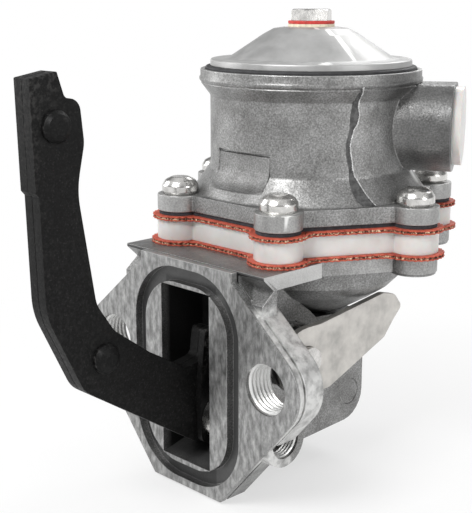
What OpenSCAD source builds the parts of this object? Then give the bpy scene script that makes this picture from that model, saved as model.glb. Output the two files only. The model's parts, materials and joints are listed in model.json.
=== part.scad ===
// Mechanical fuel pump for a small engine: a rocker arm driven by a cam works
// two diaphragms through a link and a pull rod.
// Frame: origin midway between the two fixing holes, on the face of the
// mounting flange. X runs to the right, Y into the pump, Z up the pump axis.

/* [Mounting flange] */
// Distance between the two fixing holes
fix_spacing = 57.8; // [50:0.1:70]
// Core radius of the tapped fixing holes
fix_hole_r = 6.5; // [4:0.05:7]
// Radius of the round end at each fixing hole
ear_r = 11; // [9.5:0.5:14]
// Thickness of the mounting flange
ear_t = 9; // [7:0.5:12]
// Half width of the flange's top edge
flange_top_half = 17.2; // [14:0.2:20]
// Half width of the flange's bottom edge
flange_bottom_half = 13; // [10:0.5:16]
// Depth of the flange's bottom edge below the fixing holes
flange_bottom = 35.4; // [34.5:0.1:40]
// Thickness of the machined front lip
lip_t = 2; // [1:0.1:3]
// Half width of the seal groove, outside
groove_half = 19.7; // [18:0.1:20.5]
// Width of the seal groove
groove_w = 4; // [2:0.1:5]
// Depth of the seal groove
groove_depth = 2.2; // [1:0.1:3]

/* [Lever chamber] */
// Half width of the chamber
chamber_half = 9.1; // [8:0.1:10]
// Top of the chamber's mouth above the fixing holes
mouth_top = 19.7; // [17:0.1:20]
// Bottom of the chamber's mouth below the fixing holes
mouth_bottom = 27.9; // [26:0.1:28.5]
// Wall thickness of the chamber's sides
side_wall = 3.4; // [2.5:0.1:4.5]
// How far the chamber reaches behind the pump axis
box_back = 10.7; // [9:0.1:14]

/* [Pump axis and stack] */
// Distance from the mounting face to the pump axis
axis_y = 47.3; // [46:0.1:52]
// Height of the joint face on top of the lower housing
deck_z = 27; // [25:0.5:30]
// Thickness of the lower flange and of the slab in front of it
lower_flange_t = 4; // [3:0.2:5]
// Thickness of each diaphragm
diaphragm_t = 1.2; // [0.8:0.1:1.6]
// Thickness of the plastic spacer
spacer_t = 5.5; // [4:0.1:7]
// Thickness of the thin gasket under the upper flange
gasket_t = 1; // [0.5:0.1:1.5]
// Thickness of the upper flange
upper_flange_t = 4.4; // [3:0.1:6]
// Radius of the six screws' circle
screw_circle_r = 36.8; // [36:0.1:40]
// Radius of each rounded lobe round a screw
lobe_r = 6.2; // [5.5:0.1:7]
// Radius across the corners of the six-sided flange
hex_corner_r = 38; // [37:0.1:41]
// How far the diaphragm edges stand out past the flanges
fabric_overhang = 1.8; // [0.5:0.1:2.2]
// Radius of a flange screw's shank
screw_r = 2.5; // [2:0.1:3]
// Radius of a flange screw's head
screw_head_r = 5; // [4:0.1:5.5]
// Height of a flange screw's head
screw_head_h = 4.5; // [3:0.1:5]

/* [Upper housing] */
// Radius of the upper housing's wall
shell_r = 27.5; // [27:0.1:28.5]
// Radius of the skirt where it meets the upper flange
skirt_r = 32; // [31:0.1:33.5]
// Height of the upper housing's rim above the upper flange
rim_rise = 33; // [31:0.5:38]
// Radius of the rim
rim_r = 30.2; // [29.8:0.1:31.5]
// Radius of the chamber that holds the strainer
bowl_r = 20; // [18:0.5:21]
// Radius of the ledge that the strainer rests on
strainer_r = 21.4; // [21.2:0.1:23]
// Angle of the outlet port from the X axis
port_angle = 30; // [20:1:40]
// Radius of each port boss
port_boss_r = 12.35; // [11:0.05:13]
// Distance from the pump axis to each port's end face
port_reach = 39.5; // [37:0.5:45]
// Core radius of each tapped port
port_bore_r = 6.2; // [5:0.1:7]
// Radius of a port plug's head
plug_head_r = 10.5; // [9:0.1:11.5]

/* [Top cover] */
// Radius of the cover's brim
cover_r = 27.5; // [26.5:0.1:28]
// Radius of the cover's foot, where the cone starts
cover_foot_r = 22.7; // [22:0.1:24]
// Radius of the cover's flat top
cover_top_r = 10; // [9:0.1:14]
// Height of the cover above its seal
cover_h = 10.3; // [9:0.1:14]
// Thickness of the cover's sheet
cover_t = 1.5; // [1:0.1:2]
// Distance across the flats of the cover bolt's head
bolt_flats = 10; // [9:0.5:11]
// Radius of the cover bolt's shank
bolt_r = 3; // [2.5:0.1:3.5]
// Radius of the two round washers under the bolt's head
washer_r = 6.3; // [6:0.1:7]

/* [Rocker arm and link] */
// Distance from the mounting face to the pivot
pivot_y = 7; // [6.9:0.1:8]
// Depth of the pivot below the fixing holes
pivot_drop = 15.2; // [14:0.1:16.5]
// Radius of the pivot pin
pin_r = 3.6; // [3:0.05:4]
// Height of the rocker arm's tip above the fixing holes
arm_rise = 76.8; // [75:0.1:79]
// Running clearance round the pins
run_gap = 0.05; // [0.02:0.01:0.1]
// Thickness of each of the rocker arm's two plates
arm_plate_t = 3; // [2.5:0.1:3.2]
// Thickness of the link's sheet
link_t = 1.8; // [1.5:0.1:2.2]
// Gap between the rocker arm and each side of the link
link_gap = 0.2; // [0.1:0.05:0.4]
// Radius of the rivet heads
rivet_head_r = 3.7; // [3.2:0.1:4.5]
// Height of the rivet heads
rivet_head_h = 2.5; // [2:0.1:3]

/* [Pull rod and diaphragms] */
// Radius of the pull rod
rod_r = 2.5; // [2:0.1:3]
// Radius of the clamping plates on the diaphragms
plate_r = 15; // [12:0.5:17]
// Thickness of each clamping plate
plate_t = 1.2; // [1:0.1:1.6]
// Distance of each valve from the pump axis
valve_offset = 11; // [10:0.5:12]

/* [Primer lever] */
// Distance from the mounting face to the primer shaft
primer_y = 21.4; // [20.5:0.1:23]
// Height of the primer shaft above the fixing holes
primer_z = 0.7; // [0:0.1:2]
// Radius of the primer shaft
primer_r = 5; // [4:0.1:5.5]
// Thickness of the primer lever's plate
primer_t = 2; // [1.5:0.1:2.5]
// Distance of the primer lever's inner face from the middle plane
primer_x = 21.4; // [20:0.1:23]

/* [Hidden] */
$fn = 64;
fit = 0.05;
eps = 0.01;
soft_gap = 0.3;

// Heights of the stack, from the bottom up
lower_dia_z = deck_z;
spacer_z = lower_dia_z + diaphragm_t;
upper_dia_z = spacer_z + spacer_t;
gasket_z = upper_dia_z + diaphragm_t;
upper_z = gasket_z + gasket_t;
upper_top_z = upper_z + upper_flange_t;
rim_z = upper_top_z + rim_rise;
seal_z = rim_z - 0.5;
seal_t = 1.2;
seal_r = cover_r + 1.3;
cover_z = seal_z + seal_t;
cover_top_z = cover_z + cover_h;
brim_t = 2;
washer_t = 0.8;
cream_z = cover_top_z;
red_z = cream_z + washer_t;
bolt_head_z = red_z + washer_t;
bolt_head_h = 3.1;

// Mounting flange
groove_top = 24.8;
groove_corner_r = 16;
groove_floor = flange_bottom - 2.2;
shoulder_z = deck_z - 2.6;
slab_half = 26;
slab_front = 2.5;
slab_cove = 3.5;
gusset_back = 7.1;
gusset_foot_z = 14.5;
gusset_front_z = 19.8;

// Lever chamber
box_half = chamber_half + side_wall;
box_end = axis_y + box_back;
box_roof = 5;
box_floor = 28.8;
box_floor_back = 26.7;
floor_wall = 2.6;
roof_wall = 3;
end_wall = 3.2;
bowl_floor = box_roof + 3.4;
bowl_drop = 22;
seal_seat_r = 6.2;

// Pivot and arm
pivot_z = -pivot_drop;
lug_r = 6.9;
lug_end = 29.5;
lug_bore_r = 4.6;
pin_end = 24;
arm_half = arm_plate_t;
link_in = arm_half + link_gap;
link_out = link_in + link_t;
bush_r = 5;
arm_tail_z = -19.8;
rivet_hole_r = 2.5;
rivets_at = [[-39.7, 64.8], [-28, 8.5]];
distance_bush_r = 5.8;
arm_spring_z = 5.5;
horn_back = 8.9;
horn_front = 5.2;
seat_rib_y = 14.8;
seat_rib_t = 1.4;
seat_rib_drop = 2.2;

// Pull rod
crown_r = 2.2;
hook_z = -10;
collar_z = hook_z - crown_r - soft_gap;
collar_t = 2;
collar_r = link_out + 1;
rod_bottom = collar_z - collar_t - 1.2;
upper_plate_z = gasket_z;
nut_z = upper_plate_z + plate_t;
nut_h = 2.6;
rod_top = nut_z + nut_h + 0.8;
lower_plate_z = lower_dia_z - plate_t;
spool_r = 8;

// Valves
cage_r = 6.8;
cage_h = 6.5;
cage_wall = 1.5;
seat_t = 1.5;
seat_hole_r = 3;
disc_r = 4.4;
disc_t = 0.8;
pump_roof = upper_z + 7.1;
strainer_floor = upper_top_z + 19.7;
strainer_z = strainer_floor + 8;
strainer_t = 1.2;
post_r = 5;
port_z = upper_top_z + 18.4;
port_flat_z = upper_top_z + 29.6;
flat_half = 9.4;
flat_top_z = upper_top_z + 12.6;
passage_r = 3;
inlet_angle = 180 - port_angle;

// Primer lever
primer_boss_r = 8;
primer_boss_end = primer_x - soft_gap;
primer_hub_r = 9.3;
shaft_end = primer_x + primer_t + 1.5;

cast_grey = [0.62, 0.62, 0.6];
steel_dark = [0.09, 0.09, 0.09];
zinc = [0.66, 0.64, 0.6];
plated = [0.78, 0.78, 0.77];
fabric_red = [0.72, 0.25, 0.16];
clear_white = [0.9, 0.91, 0.88];
rubber_black = [0.05, 0.05, 0.06];
brass_col = [0.75, 0.6, 0.3];

// Geometry helpers

function polar(r, a) = [r * cos(a), r * sin(a)];

// Point where a line from p touches a circle, on the side given by s
function touch(p, c, r, s) =
    let (d = norm(p - c), b = atan2(p[1] - c[1], p[0] - c[0]))
    c + polar(r, b + s * acos(r / d));

// Corner of a polygon, replaced by an arc of radius q[2] with n steps
function corner_arc(p, q, s, n) =
    let (u = [p[0] - q[0], p[1] - q[1]] / norm([p[0] - q[0], p[1] - q[1]]),
        v = [s[0] - q[0], s[1] - q[1]] / norm([s[0] - q[0], s[1] - q[1]]),
        half = acos(u * v) / 2,
        reach = q[2] / tan(half),
        mid = (u + v) / norm(u + v),
        c = [q[0], q[1]] + mid * q[2] / sin(half),
        a = [q[0], q[1]] + u * reach - c,
        b = [q[0], q[1]] + v * reach - c,
        a0 = atan2(a[1], a[0]),
        turn = atan2(a[0] * b[1] - a[1] * b[0], a * b))
    [for (i = [0:n]) c + polar(q[2], a0 + turn * i / n)];

// Closed outline from corners [x, y, radius]; radius 0 keeps a sharp corner
function rounded(pts, n = 6) =
    [for (i = [0:len(pts) - 1])
        let (q = pts[i], p = pts[(i + len(pts) - 1) % len(pts)], s = pts[(i + 1) % len(pts)])
        each q[2] == 0 ? [[q[0], q[1]]] : corner_arc(p, q, s, n)];

// Slab of an outline drawn in the Y-Z plane, from x0 to x1
module side_slab(x0, x1) {
    translate([x0, 0, 0]) rotate([90, 0, 90]) linear_extrude(x1 - x0) children();
}

// Slab of an outline drawn in the X-Z plane, from y0 to y1
module front_slab(y0, y1) {
    translate([0, y1, 0]) rotate([90, 0, 0]) linear_extrude(y1 - y0) children();
}

// Straight rod along X
module x_rod(x0, x1, y, z, r) {
    translate([x0, y, z]) rotate([0, 90, 0]) cylinder(h = x1 - x0, r = r);
}

// Rectangle with round corners
module round_rect(x0, y0, x1, y1, r) {
    translate([x0 + r, y0]) square([x1 - x0 - 2 * r, y1 - y0]);
    translate([x0, y0 + r]) square([x1 - x0, y1 - y0 - 2 * r]);
    for (x = [x0 + r, x1 - r], y = [y0 + r, y1 - r]) translate([x, y]) circle(r);
}

// Six-sided flange outline with a lobe at each screw
module lobed(corner_r, round_r) {
    circle(corner_r, $fn = 6);
    for (k = [0:5]) translate(polar(screw_circle_r, 60 * k)) circle(round_r);
}

module at_screws() {
    for (k = [0:5]) translate([0, axis_y, 0] + concat(polar(screw_circle_r, 60 * k), 0)) children();
}

module on_axis(z) {
    translate([0, axis_y, z]) children();
}

// Round coil spring along Z: closed tube swept round the axis
module coil(r, wire_r, h, turns, steps = 20, sides = 6) {
    n = turns * steps;
    pts = [for (i = [0:n], j = [0:sides - 1])
        let (a = 360 * i / steps,
            zc = wire_r + (h - 2 * wire_r) * i / n,
            rc = r + wire_r * cos(360 * j / sides))
        [rc * cos(a), rc * sin(a), zc + wire_r * sin(360 * j / sides)]];
    walls = [for (i = [0:n - 1], j = [0:sides - 1])
        let (k = (j + 1) % sides)
        [i * sides + j, i * sides + k, (i + 1) * sides + k, (i + 1) * sides + j]];
    start = [[for (j = [0:sides - 1]) sides - 1 - j]];
    finish = [[for (j = [0:sides - 1]) n * sides + j]];
    polyhedron(pts, concat(start, walls, finish));
}

// Mounting flange and lower housing

// Outline of the mounting flange, drawn inside its true edge by inset
module flange_outline(inset = 0) {
    c = [fix_spacing / 2, 0];
    r = ear_r - inset;
    top = [flange_top_half - inset, shoulder_z];
    low = [flange_bottom_half - inset, inset - flange_bottom];
    upper_touch = touch(top, c, r, -1);
    lower_touch = touch(low, c, r, 1);
    right = [[flange_top_half - inset, deck_z - inset], top, upper_touch, lower_touch, low];
    left = [for (i = [len(right) - 1:-1:0]) [-right[i][0], right[i][1]]];
    polygon(concat(right, left));
    for (s = [-1, 1]) translate([s * c[0], 0]) circle(r);
}

module ears() {
    front_slab(0, lip_t) flange_outline();
    front_slab(lip_t - eps, lip_t + 0.7) flange_outline(0.7);
    front_slab(lip_t + 0.7 - eps, ear_t) flange_outline();
}

// Slab that carries the joint face forward to the mounting flange
module slab() {
    slab_bottom = deck_z - lower_flange_t;
    side_slab(-slab_half, slab_half)
        polygon([[slab_front, deck_z], [slab_front, deck_z - 0.8], [slab_front + slab_cove, slab_bottom],
            [axis_y / 2, slab_bottom], [axis_y / 2, deck_z]]);
}

// Blocks that close the corner between each ear and the slab, with a sloping pocket in front
module ear_gussets() {
    slab_bottom = deck_z - lower_flange_t;
    for (s = [0, 1]) mirror([s, 0, 0]) side_slab(flange_top_half - 6, slab_half)
        polygon([[lip_t, gusset_foot_z], [gusset_back, gusset_foot_z], [gusset_back, slab_bottom + 1],
            [slab_front + slab_cove, slab_bottom], [lip_t, gusset_front_z]]);
}

module lower_flange() {
    on_axis(deck_z - lower_flange_t) linear_extrude(lower_flange_t) lobed(hex_corner_r, lobe_r);
    translate([0, 0, deck_z - lower_flange_t - 0.6]) at_screws()
        cylinder(h = lower_flange_t, r = lobe_r - 0.3);
}

// Outside of the bowl under the lower flange
module bowl_outside() {
    on_axis(0) rotate_extrude()
        polygon([[0, box_roof], [12, 7], [19.2, 11.2], [23.6, 14.2], [26.5, 17.2],
            [27, deck_z - lower_flange_t + eps], [0, deck_z - lower_flange_t + eps]]);
}

module box_outside() {
    side_slab(-box_half, box_half)
        polygon(rounded([[lip_t, -box_floor, 0], [box_end, -box_floor_back, 8], [box_end, box_roof, 2],
            [37, box_roof + 2, 0], [34.8, 9.1, 0], [24.5, 16.9, 0], [14, deck_z - lower_flange_t, 0],
            [lip_t, deck_z - lower_flange_t, 0]]));
}

module chamber_inside() {
    side_slab(-chamber_half, chamber_half)
        polygon(rounded([[-eps, -mouth_bottom, 0], [ear_t, -box_floor + floor_wall + 0.6, 0],
            [box_end - end_wall, -box_floor_back + floor_wall, 5],
            [box_end - end_wall, box_roof - roof_wall, 2], [33, box_roof - roof_wall, 0], [20, 13, 0],
            [8, mouth_top - 1.7, 0], [-eps, mouth_top, 0]]));
}

module bowl_inside() {
    on_axis(0) rotate_extrude()
        polygon([[0, bowl_floor], [9, bowl_floor], [17, bowl_floor + 5], [bowl_drop, bowl_floor + 10],
            [bowl_drop + 1.5, deck_z - 2], [bowl_drop + 1.5, deck_z + 1], [0, deck_z + 1]]);
    on_axis(box_roof - roof_wall - 1) cylinder(h = bowl_floor, r = rod_r + 1.3);
    on_axis(bowl_floor - 2) cylinder(h = 3, r = seal_seat_r);
}

// Rib across the chamber that backs the rocker arm's spring
module spring_rib() {
    side_slab(-chamber_half - 1, chamber_half + 1)
        polygon([[seat_rib_y, seat_rib_drop], [seat_rib_y + seat_rib_t, seat_rib_drop],
            [seat_rib_y + seat_rib_t, 18], [seat_rib_y, 18]]);
}

module pivot_lug() {
    x_rod(box_half - 1, lug_end, pivot_y, pivot_z, lug_r);
    x_rod(-box_half - 3, -box_half + 1, pivot_y, pivot_z, lug_r);
}

module primer_boss() {
    x_rod(box_half - 1, primer_boss_end, primer_y, primer_z, primer_boss_r);
    x_rod(-box_half - 2.5, -box_half + 1, primer_y, primer_z, primer_boss_r);
}

module lower_housing() {
    color(cast_grey) difference() {
        union() {
            difference() {
                union() {
                    ears();
                    slab();
                    ear_gussets();
                    lower_flange();
                    bowl_outside();
                    box_outside();
                    pivot_lug();
                    primer_boss();
                }
                chamber_inside();
                bowl_inside();
            }
            spring_rib();
        }
        for (s = [-1, 1]) translate([s * fix_spacing / 2, 0, 0]) front_slab(-1, ear_t + 1) circle(fix_hole_r);
        front_slab(-1, groove_depth) difference() {
            round_rect(-groove_half, -groove_floor, groove_half, groove_top, groove_corner_r);
            round_rect(groove_w - groove_half, groove_w - groove_floor, groove_half - groove_w,
                groove_top - groove_w, groove_corner_r - groove_w);
        }
        at_screws() translate([0, 0, deck_z - 10]) cylinder(h = 20, r = screw_r + fit);
        x_rod(-box_half - 4, lug_end + 1, pivot_y, pivot_z, pin_r + run_gap);
        x_rod(pin_end, lug_end + 1, pivot_y, pivot_z, lug_bore_r);
        x_rod(-box_half - 1, primer_boss_end + 1, primer_y, primer_z, primer_r + run_gap);
        x_rod(box_half - 0.3, box_half + 1, axis_y + 4.9, -18.7, 3.8);
    }
}

// Stack between the housings

module stack_layer(z, t, corner_r, round_r, inner_r) {
    difference() {
        on_axis(z) linear_extrude(t) lobed(corner_r, round_r);
        on_axis(z - 1) cylinder(h = t + 2, r = inner_r);
        at_screws() translate([0, 0, z - 1]) cylinder(h = t + 2, r = screw_r + 0.2);
    }
}

module lower_diaphragm() {
    color(fabric_red)
        stack_layer(lower_dia_z, diaphragm_t, hex_corner_r + fabric_overhang, lobe_r + fabric_overhang,
            rod_r + fit);
}

module spacer_ring() {
    color(clear_white)
        stack_layer(spacer_z, spacer_t, hex_corner_r + 0.2, lobe_r + 0.1, bowl_drop + 1.5);
}

module upper_diaphragm() {
    color(fabric_red)
        stack_layer(upper_dia_z, diaphragm_t, hex_corner_r + fabric_overhang - 0.4,
            lobe_r + fabric_overhang - 0.4, rod_r + fit);
}

module flange_gasket() {
    color([0.16, 0.18, 0.24])
        stack_layer(gasket_z, gasket_t, hex_corner_r - 0.6, lobe_r - 0.4, bowl_drop + 2);
}

module flange_screws() {
    shank_bottom = deck_z - lower_flange_t - 0.5;
    color(plated) at_screws() difference() {
        union() {
            translate([0, 0, shank_bottom]) cylinder(h = upper_top_z - shank_bottom + 1, r = screw_r);
            translate([0, 0, upper_top_z]) rotate_extrude()
                polygon([[0, 0], [screw_head_r - 0.2, 0], [screw_head_r, 0.5],
                    [screw_head_r, screw_head_h * 0.5], [screw_head_r * 0.92, screw_head_h * 0.72],
                    [screw_head_r * 0.74, screw_head_h * 0.9], [screw_head_r * 0.45, screw_head_h],
                    [0, screw_head_h]]);
        }
        for (a = [0, 90]) rotate(a) translate([-2.6, -0.6, upper_top_z + screw_head_h - 1.8])
            cube([5.2, 1.2, 3]);
    }
}

// Upper housing

// Shape along the direction of a port, drawn as if it pointed along X
module toward(angle) {
    on_axis(0) rotate(angle) children();
}

module shell_outside() {
    on_axis(upper_z) linear_extrude(upper_flange_t) lobed(hex_corner_r, lobe_r);
    on_axis(upper_top_z) rotate_extrude()
        polygon([[0, -1], [skirt_r + 0.6, -1], [skirt_r + 0.6, 0], [skirt_r, 0.6], [shell_r + 0.6, 6],
            [shell_r, 7.2], [shell_r, rim_rise - 7.1], [rim_r - 0.2, rim_rise - 3.8],
            [rim_r - 0.4, rim_rise - 3.6], [rim_r + 0.3, rim_rise - 3], [rim_r + 0.3, rim_rise - 2.3],
            [rim_r, rim_rise - 1.8], [rim_r, rim_rise], [0, rim_rise]]);
}

module port_boss(angle) {
    intersection() {
        toward(angle) x_rod(bowl_r, port_reach, 0, port_z, port_boss_r);
        on_axis(upper_top_z - 1) cylinder(h = port_flat_z - upper_top_z + 1, r = port_reach + port_boss_r);
    }
}

// Flat sunk in the front of the wall, with a groove along its top and a curved foot
module flat_recess() {
    flat_y = axis_y - shell_r + 1.9;
    foot_z = upper_top_z + 2.6;
    side_slab(-flat_half, flat_half)
        polygon([[flat_y - 8, foot_z], [flat_y - 4.1, foot_z], [flat_y - 2.8, foot_z + 0.8],
            [flat_y - 1.5, foot_z + 2], [flat_y - 0.4, foot_z + 3.7], [flat_y, foot_z + 5.6],
            [flat_y, flat_top_z - 0.8], [flat_y + 0.5, flat_top_z - 0.8], [flat_y + 0.5, flat_top_z],
            [flat_y - 8, flat_top_z]]);
}

module shell_inside() {
    on_axis(upper_z - 1) cylinder(h = pump_roof - upper_z + 1, r1 = 24.6, r2 = 21.5);
    difference() {
        union() {
            on_axis(strainer_floor) cylinder(h = rim_rise, r = bowl_r);
            on_axis(strainer_z) cylinder(h = rim_rise, r = strainer_r);
        }
        on_axis(strainer_floor - 1) cylinder(h = rim_z - strainer_floor, r = post_r);
    }
    on_axis(seal_z) cylinder(h = rim_rise, r = seal_r + fit);
    on_axis(strainer_floor + 0.5) cylinder(h = rim_rise, r = bolt_r + fit);
}

module passages() {
    translate([valve_offset, axis_y, pump_roof - 1]) cylinder(h = cage_h + 1, r = cage_r + fit);
    translate([valve_offset, axis_y, pump_roof]) cylinder(h = strainer_floor - pump_roof - 3, r = cage_r - 2);
    translate([-valve_offset, axis_y, pump_roof - 1]) cylinder(h = cage_h + 1, r = cage_r + fit);
    translate([-valve_offset, axis_y, pump_roof])
        cylinder(h = strainer_floor - pump_roof + 1, r = cage_r - 2);
    toward(port_angle) x_rod(7, port_reach - 9, 0, port_z - 4.5, passage_r);
    toward(inlet_angle) x_rod(bowl_r - 3, port_reach - 9, 0, port_z + 4.6, passage_r);
    for (a = [port_angle, inlet_angle])
        toward(a) x_rod(port_reach - 12, port_reach + 1, 0, port_z, port_bore_r);
}

module upper_housing() {
    color(cast_grey) difference() {
        union() {
            shell_outside();
            port_boss(port_angle);
            port_boss(inlet_angle);
        }
        flat_recess();
        shell_inside();
        passages();
        at_screws() translate([0, 0, upper_z - 1]) cylinder(h = upper_flange_t + 2, r = screw_r + 0.2);
        at_screws() translate([0, 0, upper_top_z]) cylinder(h = screw_head_h + 2, r = screw_head_r + 0.35);
    }
}

// Thimble-shaped plug pushed into a port
module port_plug(angle) {
    color(clear_white) toward(angle) {
        x_rod(port_reach, port_reach + 2.2, 0, port_z, plug_head_r);
        difference() {
            x_rod(port_reach - 9, port_reach + 0.5, 0, port_z, port_bore_r - fit);
            x_rod(port_reach - 10, port_reach - 1, 0, port_z, port_bore_r - 1.4);
        }
    }
}

module outlet_plug() {
    port_plug(port_angle);
}

module inlet_plug() {
    port_plug(inlet_angle);
}

module strainer() {
    color(brass_col) on_axis(strainer_z) difference() {
        cylinder(h = strainer_t, r = strainer_r - 0.2);
        translate([0, 0, -1]) cylinder(h = strainer_t + 2, r = post_r + 0.2);
        for (k = [0:7]) rotate(45 * k) translate([13, 0, 0.5]) cylinder(h = strainer_t, r = 4);
    }
}

// Top cover

module top_cover() {
    color(plated) on_axis(cover_z) difference() {
        rotate_extrude()
            polygon([[0, 0], [cover_r, 0], [cover_r, brim_t], [cover_foot_r, brim_t],
                [cover_top_r + 2.8, cover_h - 1.5], [cover_top_r, cover_h - 0.3], [cover_top_r - 3, cover_h],
                [0, cover_h]]);
        translate([0, 0, -1]) rotate_extrude()
            polygon([[0, 0], [cover_foot_r - 1.5, 0], [cover_foot_r - 1.5, 1.8],
                [cover_top_r + 1.8, cover_h - 1.9], [cover_top_r - 1, cover_h + 1 - cover_t],
                [0, cover_h + 1 - cover_t]]);
        cylinder(h = cover_h + 1, r = bolt_r + 0.3);
    }
}

module cover_seal() {
    color(rubber_black) on_axis(seal_z) difference() {
        cylinder(h = seal_t, r = seal_r);
        translate([0, 0, -1]) cylinder(h = seal_t + 2, r = strainer_r + 1.5);
    }
}

module cover_bolt() {
    bottom = strainer_floor + 1.5;
    color(plated) on_axis(0) {
        translate([0, 0, bolt_head_z]) intersection() {
            cylinder(h = bolt_head_h, r = bolt_flats / sqrt(3), $fn = 6);
            rotate_extrude()
                polygon([[0, 0], [6, 0], [6, bolt_head_h - 0.6], [4.9, bolt_head_h], [0, bolt_head_h]]);
        }
        translate([0, 0, bottom]) cylinder(h = bolt_head_z - bottom + 1, r = bolt_r);
    }
}

module washer(z, r) {
    on_axis(z) difference() {
        cylinder(h = washer_t, r = r);
        translate([0, 0, -1]) cylinder(h = washer_t + 2, r = bolt_r + 0.1);
    }
}

module red_washer() {
    color([0.72, 0.1, 0.08]) washer(red_z, washer_r);
}

module cream_washer() {
    color([0.85, 0.8, 0.66]) washer(cream_z, washer_r);
}

// Valves: each cage is drawn with its seat at the top and the disc below it

module valve_cage_form() {
    difference() {
        translate([0, 0, -cage_h]) cylinder(h = cage_h, r = cage_r);
        translate([0, 0, -seat_t - 1]) cylinder(h = seat_t + 2, r = seat_hole_r);
        translate([0, 0, 1 - cage_h]) cylinder(h = cage_h - seat_t - 1, r = cage_r - cage_wall);
        for (k = [0:3]) rotate(45 + 90 * k) translate([3.6, 0, -cage_h - 1]) cylinder(h = 3, r = 1.2);
    }
}

module valve_disc_form() {
    translate([0, 0, -seat_t - disc_t]) cylinder(h = disc_t, r = disc_r);
}

module valve_spring_form() {
    room = cage_h - seat_t - disc_t - 1;
    translate([0, 0, 1 - cage_h]) coil(1.9, 0.25, room, 3, 14);
}

module at_inlet_valve() {
    translate([-valve_offset, axis_y, pump_roof + cage_h]) children();
}

module at_outlet_valve() {
    translate([valve_offset, axis_y, pump_roof]) rotate([180, 0, 0]) children();
}

module inlet_valve_cage() {
    color(brass_col) at_inlet_valve() valve_cage_form();
}

module outlet_valve_cage() {
    color(brass_col) at_outlet_valve() valve_cage_form();
}

module inlet_valve_disc() {
    color(rubber_black) at_inlet_valve() valve_disc_form();
}

module outlet_valve_disc() {
    color(rubber_black) at_outlet_valve() valve_disc_form();
}

module inlet_valve_spring() {
    color(plated) at_inlet_valve() valve_spring_form();
}

module outlet_valve_spring() {
    color(plated) at_outlet_valve() valve_spring_form();
}

// Pull rod and what it carries

module pull_rod() {
    color(plated) {
        on_axis(rod_bottom) cylinder(h = rod_top - rod_bottom, r = rod_r);
        on_axis(collar_z - collar_t) cylinder(h = collar_t, r = collar_r);
    }
}

module rod_disc(z, t, r) {
    on_axis(z) difference() {
        cylinder(h = t, r = r);
        translate([0, 0, -1]) cylinder(h = t + 2, r = rod_r + fit);
    }
}

module upper_plate() {
    color(plated) rod_disc(upper_plate_z, plate_t, plate_r);
}

module lower_plate() {
    color(plated) union() {
        rod_disc(lower_plate_z, plate_t, plate_r);
        on_axis(lower_plate_z - 2) difference() {
            cylinder(h = 2 + eps, r = plate_r);
            translate([0, 0, -1]) cylinder(h = 4, r = plate_r - plate_t);
        }
    }
}

module spool() {
    color(clear_white) rod_disc(spacer_z, spacer_t, spool_r);
}

module rod_nut() {
    color(plated) on_axis(nut_z) difference() {
        cylinder(h = nut_h, r = 8 / sqrt(3), $fn = 6);
        translate([0, 0, -1]) cylinder(h = nut_h + 2, r = rod_r + fit);
    }
}

module rod_seal() {
    color(rubber_black) on_axis(bowl_floor - 2) difference() {
        cylinder(h = 2, r = seal_seat_r - fit);
        translate([0, 0, -1]) cylinder(h = 4, r = rod_r + fit);
    }
}

module spring_washer() {
    color(plated) on_axis(bowl_floor) difference() {
        cylinder(h = 0.8, r = 8.8);
        translate([0, 0, -1]) cylinder(h = 3, r = rod_r + 0.4);
    }
}

module diaphragm_spring() {
    bottom = bowl_floor + 0.8;
    color(plated) on_axis(bottom) coil(7.4, 0.9, lower_plate_z - bottom, 4, 20, 6);
}

// Rocker arm and link

// Side view of the rocker arm, in Y and Z
module arm_outline() {
    polygon(rounded([[-46.1, arm_rise - 1.2, 0], [-45.6, 50.6, 0], [-44.7, 49.6, 0.4], [-44.1, 22, 18],
        [-34.3, 1.5, 8], [-20, -7.8, 0], [1.1, -21.8, 4], [9.5, -22.4, 3], [12.8, arm_tail_z, 1.5],
        [20, arm_tail_z, 1.5], [20, -15, 2], [12.8, -9, 5], [horn_back, 1, 3], [horn_back, 8.2, 1.2],
        [horn_front, 8.2, 1.2], [horn_front - 1, 0.8, 2], [-2, -0.4, 3], [-14.2, 6.8, 0], [-24.9, 14.7, 6],
        [-30, 22.2, 8], [-34.4, 50, 20], [-32, 60.5, 8], [-33, arm_rise - 6.3, 3],
        [-36.9, arm_rise - 5.9, 1.5], [-38.8, arm_rise, 0]]));
}

module arm_plate(x0) {
    color(steel_dark) difference() {
        side_slab(x0, x0 + arm_plate_t) arm_outline();
        x_rod(x0 - 1, x0 + arm_plate_t + 1, pivot_y, pivot_z, bush_r);
        for (p = rivets_at) x_rod(x0 - 1, x0 + arm_plate_t + 1, p[0], p[1], rivet_hole_r);
    }
}

module arm_plate_left() {
    arm_plate(-arm_plate_t);
}

module arm_plate_right() {
    arm_plate(0);
}

module arm_rivets() {
    head = [[0, 0], [rivet_head_r, 0], [rivet_head_r, 0.8], [rivet_head_r * 0.8, rivet_head_h * 0.75],
        [rivet_head_r * 0.45, rivet_head_h], [0, rivet_head_h]];
    color(steel_dark) for (p = rivets_at) translate([0, p[0], p[1]]) {
        x_rod(-arm_half, arm_half, 0, 0, rivet_hole_r - fit);
        for (s = [0, 1]) mirror([s, 0, 0]) translate([arm_half, 0, 0]) rotate([0, 90, 0])
            rotate_extrude() polygon(head);
    }
}

module arm_bush() {
    color(brass_col) difference() {
        x_rod(-arm_half, arm_half, pivot_y, pivot_z, bush_r - 0.02);
        x_rod(-arm_half - 1, arm_half + 1, pivot_y, pivot_z, pin_r + run_gap);
    }
}

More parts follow.
